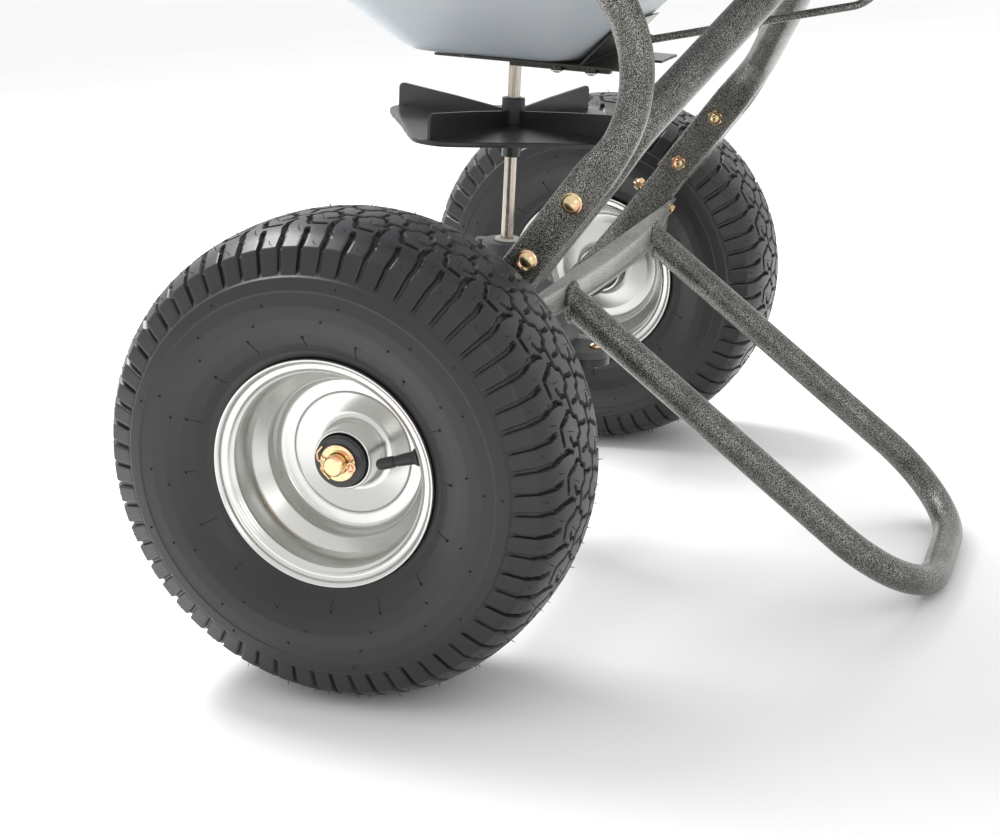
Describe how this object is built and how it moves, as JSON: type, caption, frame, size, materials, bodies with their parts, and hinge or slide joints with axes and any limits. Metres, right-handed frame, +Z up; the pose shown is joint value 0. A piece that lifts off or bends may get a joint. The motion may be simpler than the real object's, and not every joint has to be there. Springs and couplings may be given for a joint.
{
  "type": "walk-behind broadcast spreader",
  "caption": "Walk-behind broadcast spreader: grey-blue hopper in a black tube frame on pneumatic wheels, with an axle-driven impeller, shut-off gate, hand lever and U-shaped stand.",
  "frame": {"origin": "centre of the bounding box at floor level, where the tyres and the stand's cross bar rest", "axes": "+X toward the machine's left along the axle, -Y forward, +Y toward the operator, +Z up"},
  "size_m": [0.812, 0.9889, 0.9867],
  "materials": {
    "frame_paint": "black and silver hammertone, semi-gloss",
    "brace_paint": "grey hammertone, semi-gloss",
    "zinc": "bright zinc plate",
    "yellow_zinc": "yellow zinc plate",
    "steel": "bare bright steel",
    "tyre": "matt turf tread rubber",
    "rubber": "matt",
    "hopper_plastic": "satin moulded polyethylene",
    "black_plastic": "semi-gloss moulded nylon",
    "gearbox_grey": "satin moulded",
    "bushing_plastic": "natural nylon",
    "gear_metal": "sintered, lightly oiled",
    "black_plate": "black powder coat"
  },
  "bodies": {
    "chassis": {"axle_bushing_left": "black_plastic", "axle_bushing_right": "black_plastic", "base_plate": "black_plate", "brace_bolt_left": "yellow_zinc", "brace_bolt_right": "yellow_zinc", "carriage_bolt_lower_left": "yellow_zinc", "carriage_bolt_lower_right": "yellow_zinc", "carriage_bolt_upper_left": "yellow_zinc", "carriage_bolt_upper_right": "yellow_zinc", "control_console": "black_plate", "cross_brace": "brace_paint", "gearbox_bolt_front": "yellow_zinc", "gearbox_bolt_rear": "yellow_zinc", "gearbox_lower": "black_plastic", "gearbox_upper": "gearbox_grey", "grip_left": "rubber", "grip_right": "rubber", "handle_tie": "black_plate", "handle_tube_left": "frame_paint", "handle_tube_right": "frame_paint", "hopper": "hopper_plastic", "hopper_bushing": "bushing_plastic", "hopper_hoop": "frame_paint", "joint_nut_lower_left": "yellow_zinc", "joint_nut_lower_right": "yellow_zinc", "joint_nut_upper_left": "yellow_zinc", "joint_nut_upper_right": "yellow_zinc", "lever_pivot_bolt": "yellow_zinc", "lower_frame_tube_left": "frame_paint", "lower_frame_tube_right": "frame_paint", "shaft_bushing": "bushing_plastic", "stand": "frame_paint"},
    "drive_axle": {"axle": "yellow_zinc", "ring_gear": "gear_metal", "drive_pin": "zinc", "axle_spacer_left": "zinc", "axle_spacer_right": "zinc", "hub_washer_left": "yellow_zinc", "hub_washer_right": "yellow_zinc", "cotter_pin_left": "yellow_zinc", "cotter_pin_right": "yellow_zinc", "rim_right": "zinc", "hub_bushing_right": "black_plastic", "tyre_right": "tyre", "valve_stem_right": "rubber"},
    "free_wheel": {"rim_left": "zinc", "hub_bushing_left": "black_plastic", "tyre_left": "tyre", "valve_stem_left": "rubber"},
    "spinner": {"impeller_shaft": "steel", "pinion": "gear_metal", "impeller": "black_plastic", "agitator": "zinc"},
    "shut_off": {"gate": "black_plate"},
    "rod": {"control_rod": "frame_paint"},
    "lever": {"control_lever": "black_plate", "lever_knob": "black_plastic"},
    "rate_stop": {"rate_stop_bolt": "zinc", "rate_stop_knob": "black_plastic"}
  },
  "joints": [
    {"name": "axle_spin", "type": "hinge", "parent": "chassis", "child": "drive_axle", "pos_m": [0, -0.2232, 0.184], "axis": [1, 0, 0], "continuous": true},
    {"name": "free_wheel_spin", "type": "hinge", "parent": "drive_axle", "child": "free_wheel", "pos_m": [0, -0.2232, 0.184], "axis": [1, 0, 0], "continuous": true},
    {"name": "impeller_spin", "type": "hinge", "parent": "chassis", "child": "spinner", "pos_m": [0, -0.20509, 0.38318], "axis": [0, 0.0906, 0.9959], "continuous": true},
    {"name": "gate_slide", "type": "slide", "parent": "chassis", "child": "shut_off", "axis": [0, 0.9959, -0.0906], "range_m": [0, 0.03]},
    {"name": "rod_tilt", "type": "hinge", "parent": "shut_off", "child": "rod", "pos_m": [0, -0.08616, 0.4542], "axis": [1, 0, 0], "range_deg": [0, 2.5]},
    {"name": "lever_pull", "type": "hinge", "parent": "chassis", "child": "lever", "pos_m": [0, 0.35058, 0.85795], "axis": [1, 0, 0], "range_deg": [0, 21.8]},
    {"name": "stop_turn", "type": "hinge", "parent": "chassis", "child": "rate_stop", "pos_m": [0, 0.35058, 0.85795], "axis": [1, 0, 0], "range_deg": [-9, 45]}
  ],
  "couplings": [
    {"joint": "impeller_spin", "follows": "axle_spin", "ratio": -4},
    {"joint": "rod_tilt", "follows": "gate_slide", "rad_per_m": 1.3847},
    {"joint": "lever_pull", "follows": "gate_slide", "rad_per_m": 12.584}
  ]
}
